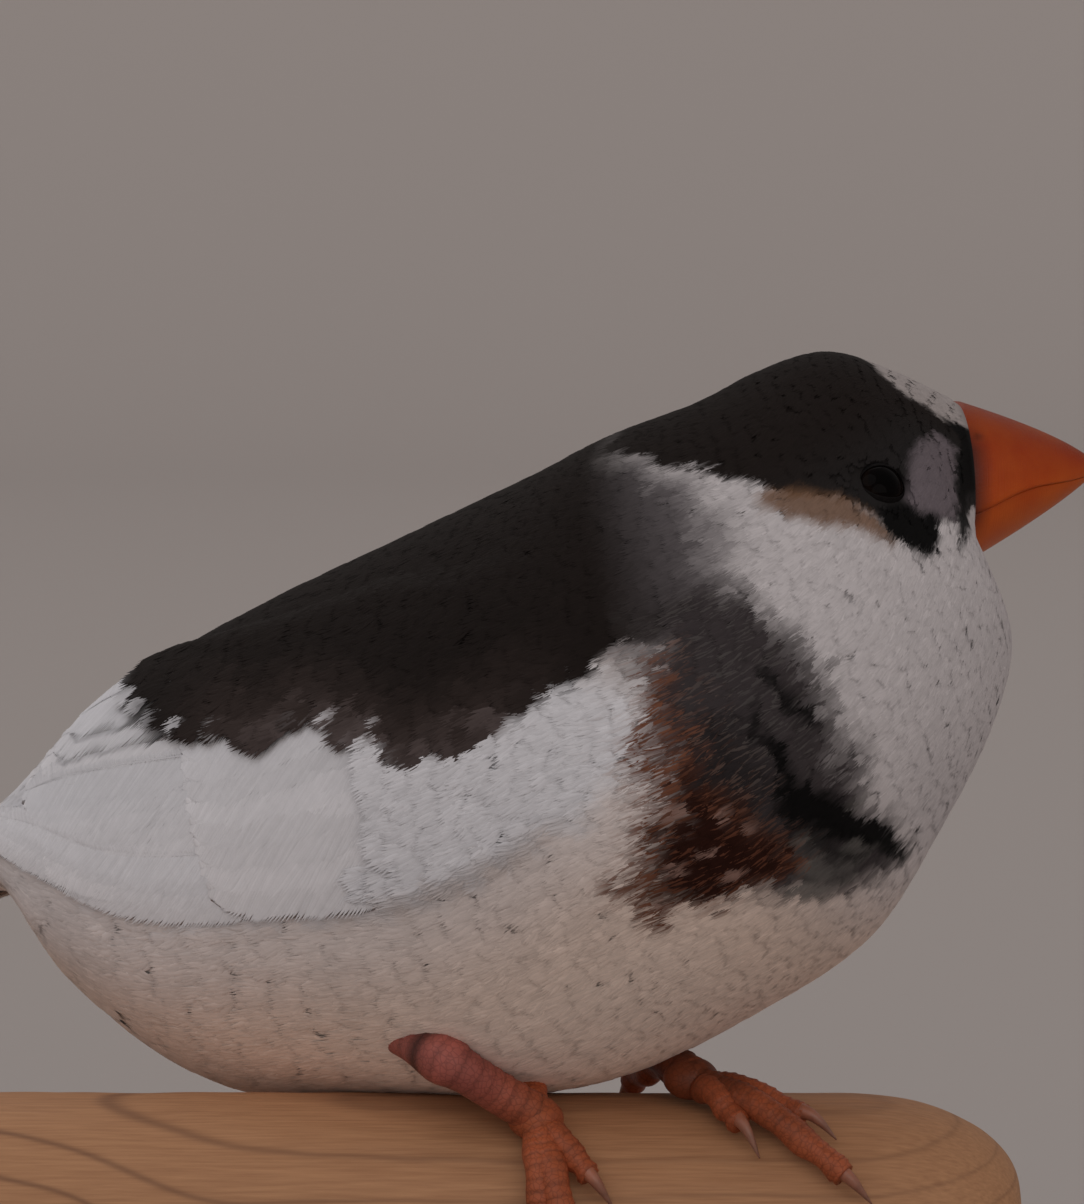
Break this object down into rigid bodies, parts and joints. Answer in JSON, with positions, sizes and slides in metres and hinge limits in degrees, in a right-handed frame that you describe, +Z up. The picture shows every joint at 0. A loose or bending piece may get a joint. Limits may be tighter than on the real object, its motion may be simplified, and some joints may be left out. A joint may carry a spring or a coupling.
{
  "type": "zebra finch on a perch",
  "caption": "Still, life-size pied zebra finch with an orange bill, crouching on a cut length of round wooden perch on a plain stand.",
  "frame": {"origin": "middle of the underside of the stand's base", "axes": "+Z up, +X along the perch towards its rounded end, -Y towards the side that shows the bird's right side"},
  "size_m": [0.1107, 0.0784, 0.0828],
  "materials": {
    "plumage_pale": "matte",
    "wing_feathers": "matte",
    "tail_feathers": "matte",
    "bill_horn": "satin",
    "eye": "gloss",
    "leg_scales": "satin",
    "perch_wood": "matte",
    "stand_wood": "satin",
    "stand_steel": "satin"
  },
  "bodies": {
    "root": {"head": "plumage_pale", "neck": "plumage_pale", "breast": "plumage_pale", "torso": "plumage_pale", "bill_upper": "bill_horn", "bill_lower": "bill_horn", "eye_right": "eye", "eye_left": "eye", "wing_right": "wing_feathers", "wing_left": "wing_feathers", "tail": "tail_feathers", "leg_right": "leg_scales", "leg_left": "leg_scales", "foot_right": "leg_scales", "foot_left": "leg_scales", "perch": "perch_wood", "stand_base": "stand_wood", "stand_rod_1": "stand_steel", "stand_rod_2": "stand_steel"}
  },
  "joints": []
}
